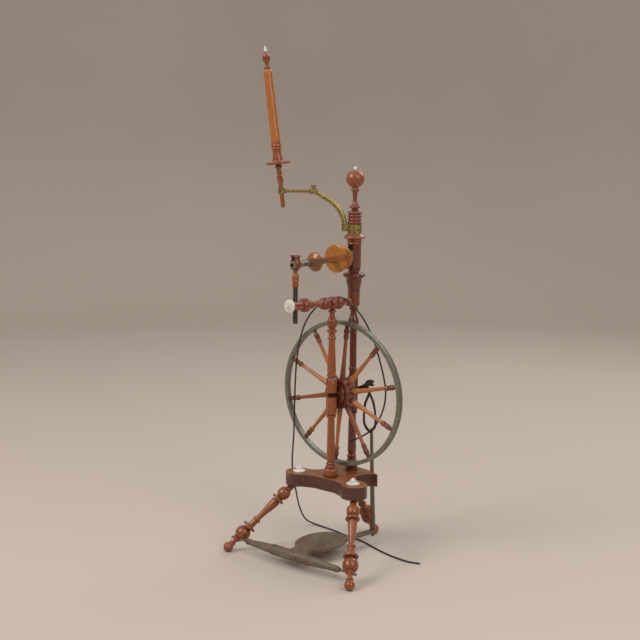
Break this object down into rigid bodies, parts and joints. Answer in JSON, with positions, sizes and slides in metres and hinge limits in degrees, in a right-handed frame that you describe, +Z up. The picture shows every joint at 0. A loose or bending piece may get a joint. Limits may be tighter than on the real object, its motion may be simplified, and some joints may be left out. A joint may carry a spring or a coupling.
{
  "type": "upright spinning wheel",
  "caption": "Upright spinning wheel with turned legs, treadle, wheel between two posts, flyer above it and a distaff on a swinging arm.",
  "frame": {"origin": "on the floor, midway between the feet", "axes": "+Z up; +Y from the spinner's side to the back; +X to the spinner's right; the wheel's axle runs along Y"},
  "size_m": [0.4119, 0.3613, 1.1944],
  "materials": {
    "turned_wood": "polished, warm orange-brown",
    "board_wood": "polished",
    "dark_wood": "polished, dark red-brown",
    "spoke_wood": "polished, dark red at the rim end",
    "whorl_wood": "polished, honey-coloured",
    "worn_wood": "worn, matt",
    "bone": "smooth off-white bone",
    "iron": "dark, worn",
    "rim_finish": "grey-green, satin",
    "block_grey": "grey, worn",
    "brass": "patinated",
    "leather": "dark, worn",
    "cord": "dark, smooth round belting"
  },
  "bodies": {
    "stand": {"board": "board_wood", "board_caps": "bone", "leg_left": "turned_wood", "leg_right": "turned_wood", "leg_back": "turned_wood", "front_post": "turned_wood", "column": "dark_wood", "crossbar": "turned_wood", "drive_cord": "cord"},
    "tension_screw": {"tension_screw": "turned_wood", "tension_tip": "bone"},
    "bearing_block": {"bearing_block": "block_grey"},
    "maiden": {"maiden_rod": "iron", "maiden_fork": "turned_wood", "fork_bearing": "bone"},
    "clamp_knob": {"clamp_knob": "bone"},
    "flyer": {"flyer_spindle": "iron", "flyer_arms": "turned_wood", "flyer_hooks": "iron", "flyer_whorl": "whorl_wood"},
    "bobbin": {"bobbin_core": "turned_wood", "bobbin_whorl": "whorl_wood"},
    "distaff_arm": {"arm_bracket": "brass", "collar_screw": "brass"},
    "wing_screw": {"wing_screw": "brass"},
    "arm_rod": {"arm_rod": "brass"},
    "distaff": {"distaff_base": "turned_wood", "distaff_staff": "turned_wood", "distaff_finial": "turned_wood", "distaff_tip": "bone"},
    "wheel": {"rim": "rim_finish", "hub": "dark_wood", "spoke_01": "spoke_wood", "spoke_02": "spoke_wood", "spoke_03": "spoke_wood", "spoke_04": "spoke_wood", "spoke_05": "spoke_wood", "spoke_06": "spoke_wood", "spoke_07": "spoke_wood", "spoke_08": "spoke_wood", "spoke_09": "spoke_wood", "spoke_10": "spoke_wood", "axle": "iron", "crank": "iron"},
    "leather_tie": {"leather_tie": "leather"},
    "treadle": {"treadle_bar": "worn_wood", "treadle_plate": "worn_wood", "treadle_thong": "leather"},
    "footman": {"footman_rod": "worn_wood"}
  },
  "joints": [
    {"name": "block_slide", "type": "slide", "parent": "stand", "child": "bearing_block", "axis": [0, 0, 1], "range_m": [-0.012, 0.012]},
    {"name": "tension_turn", "type": "hinge", "parent": "stand", "child": "tension_screw", "pos_m": [0, 0.072, 0.816], "axis": [0, 0, 1], "range_deg": [-870, 870]},
    {"name": "maiden_slide", "type": "slide", "parent": "stand", "child": "maiden", "axis": [0, 0, 1], "range_m": [-0.0125, 0.0125]},
    {"name": "knob_turn", "type": "hinge", "parent": "stand", "child": "clamp_knob", "pos_m": [0, -0.0095, 0.6042], "axis": [0, 0.9991, -0.0419], "range_deg": [-180, 180]},
    {"name": "flyer_spin", "type": "hinge", "parent": "bearing_block", "child": "flyer", "pos_m": [0, -0.1412, 0.702], "axis": [0, 0.9993, 0.0384], "continuous": true},
    {"name": "bobbin_spin", "type": "hinge", "parent": "flyer", "child": "bobbin", "pos_m": [0, -0.1412, 0.702], "axis": [0, 0.9993, 0.0384], "continuous": true},
    {"name": "arm_swing", "type": "hinge", "parent": "stand", "child": "distaff_arm", "pos_m": [0, 0.072, 0.7745], "axis": [0, 0, 1], "range_deg": [-90, 90]},
    {"name": "wing_turn", "type": "hinge", "parent": "distaff_arm", "child": "wing_screw", "pos_m": [-0.07551, 0.00953, 0.868], "axis": [0, 0, 1], "range_deg": [-180, 180]},
    {"name": "rod_swivel", "type": "hinge", "parent": "distaff_arm", "child": "arm_rod", "pos_m": [-0.13407, -0.03891, 0.8615], "axis": [-0.7705, -0.6374, 0], "range_deg": [-20, 20]},
    {"name": "distaff_turn", "type": "hinge", "parent": "arm_rod", "child": "distaff", "pos_m": [-0.13407, -0.03891, 0.8615], "axis": [-0.0899, -0.0744, 0.9932], "continuous": true},
    {"name": "wheel_spin", "type": "hinge", "parent": "stand", "child": "wheel", "pos_m": [0, 0.0282, 0.384], "axis": [0, 1, 0], "continuous": true},
    {"name": "tie_swing", "type": "hinge", "parent": "wheel", "child": "leather_tie", "pos_m": [0.02175, 0.0945, 0.39414], "axis": [0, 1, 0], "continuous": true},
    {"name": "treadle_rock", "type": "hinge", "parent": "stand", "child": "treadle", "pos_m": [0, -0.15079, 0.031], "axis": [1, 0, 0], "range_deg": [-3, 8]},
    {"name": "footman_tilt", "type": "hinge", "parent": "treadle", "child": "footman", "pos_m": [0.042, 0.106, 0.0423], "axis": [1, 0, 0], "range_deg": [-9, 3.5]}
  ],
  "couplings": [
    {"joint": "tension_turn", "follows": "block_slide", "rad_per_m": 1256.6},
    {"joint": "maiden_slide", "follows": "block_slide", "ratio": 1},
    {"joint": "tie_swing", "follows": "wheel_spin", "ratio": -1},
    {"joint": "footman_tilt", "follows": "treadle_rock", "ratio": -1.1125}
  ]
}
